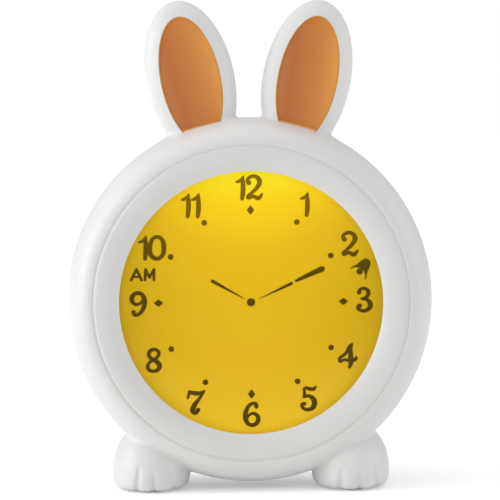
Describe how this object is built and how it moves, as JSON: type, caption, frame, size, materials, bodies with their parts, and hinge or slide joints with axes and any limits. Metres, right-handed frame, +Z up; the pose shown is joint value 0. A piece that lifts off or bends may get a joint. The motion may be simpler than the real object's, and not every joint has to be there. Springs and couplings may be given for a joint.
{
  "type": "kids alarm clock with night light",
  "caption": "Bunny-eared bedside alarm clock with a round backlit dial, amber lamp windows in the ears, two paws, rear keys, loudspeaker and battery door.",
  "frame": {"origin": "on the table under the middle of the clock's bounding box", "axes": "+Z up through the ears, -Y out of the dial towards the viewer, +X to the viewer's right"},
  "size_m": [0.14, 0.0548, 0.1871],
  "materials": {
    "white_abs": "satin moulded",
    "bezel_abs": "satin moulded",
    "key_abs": "satin moulded",
    "slider_abs": "satin moulded",
    "clear_acrylic": "clear polished",
    "lcd_glass": "satin film over glass",
    "guide_acrylic": "polished",
    "white_film": "matt",
    "holder_abs": "satin moulded",
    "contact_rubber": "matt",
    "led_resin": "gloss",
    "amber_lamp": "satin translucent",
    "board_laminate": "gloss solder mask",
    "chip_epoxy": "matt",
    "capacitor_can": "satin",
    "connector_nylon": "satin",
    "switch_resin": "satin",
    "switch_can": "plated",
    "cell_sleeve": "gloss",
    "nickel_wire": "nickel plated",
    "nickel_plate": "nickel plated",
    "speaker_steel": "satin",
    "speaker_paper": "matt",
    "ferrite": "matt",
    "clamp_steel": "zinc plated",
    "socket_steel": "plated",
    "pad_rubber": "matt",
    "screw_steel": "zinc plated"
  },
  "bodies": {
    "clock_body": {"front_housing": "white_abs", "rear_housing": "white_abs", "dial_bezel": "bezel_abs", "dial_window": "clear_acrylic", "lcd_cell": "lcd_glass", "light_guide": "guide_acrylic", "reflector_sheet": "white_film", "lcd_holder": "holder_abs", "contact_strip": "contact_rubber", "backlight_leds": "led_resin", "ear_lens_left": "amber_lamp", "ear_lens_right": "amber_lamp", "ear_board_left": "board_laminate", "ear_board_right": "board_laminate", "ear_leds_left": "led_resin", "ear_leds_right": "led_resin", "main_board": "board_laminate", "main_chip": "chip_epoxy", "capacitors": "capacitor_can", "connectors": "connector_nylon", "key_board": "board_laminate", "switch_bodies": "switch_resin", "slider_switch": "switch_can", "battery_cells": "cell_sleeve", "battery_springs": "nickel_wire", "battery_plates": "nickel_plate", "speaker_basket": "speaker_steel", "speaker_cone": "speaker_paper", "speaker_magnet": "ferrite", "speaker_clamp": "clamp_steel", "power_socket": "socket_steel", "power_board": "board_laminate", "foot_pads": "pad_rubber", "housing_screws": "screw_steel", "board_screws": "screw_steel"},
    "battery_door_body": {"battery_door": "white_abs", "door_screw": "screw_steel"},
    "lamp_key_body": {"lamp_key": "key_abs", "lamp_plunger": "switch_resin"},
    "hour_key_body": {"hour_key": "key_abs", "hour_plunger": "switch_resin"},
    "minute_key_body": {"minute_key": "key_abs", "minute_plunger": "switch_resin"},
    "set_key_body": {"set_key": "key_abs", "set_plunger": "switch_resin"},
    "alarm_key_body": {"alarm_key": "key_abs", "alarm_plunger": "switch_resin"},
    "alarm_slider_body": {"alarm_slider": "slider_abs", "slider_lever": "switch_resin"}
  },
  "joints": [
    {"name": "battery_door_hinge", "type": "hinge", "parent": "clock_body", "child": "battery_door_body", "pos_m": [0, 0.0254, 0.03595], "axis": [-1, 0, 0], "range_deg": [0, 95]},
    {"name": "lamp_key_press", "type": "slide", "parent": "clock_body", "child": "lamp_key_body", "axis": [0, -1, 0], "range_m": [0, 0.0005], "stiffness_N_per_m": 400},
    {"name": "hour_key_press", "type": "slide", "parent": "clock_body", "child": "hour_key_body", "axis": [0, -1, 0], "range_m": [0, 0.0005], "stiffness_N_per_m": 400},
    {"name": "minute_key_press", "type": "slide", "parent": "clock_body", "child": "minute_key_body", "axis": [0, -1, 0], "range_m": [0, 0.0005], "stiffness_N_per_m": 400},
    {"name": "set_key_press", "type": "slide", "parent": "clock_body", "child": "set_key_body", "axis": [0, -1, 0], "range_m": [0, 0.0005], "stiffness_N_per_m": 400},
    {"name": "alarm_key_press", "type": "slide", "parent": "clock_body", "child": "alarm_key_body", "axis": [0, -1, 0], "range_m": [0, 0.0005], "stiffness_N_per_m": 400},
    {"name": "alarm_slider_slide", "type": "slide", "parent": "clock_body", "child": "alarm_slider_body", "axis": [1, 0, 0], "range_m": [0, 0.003]}
  ]
}
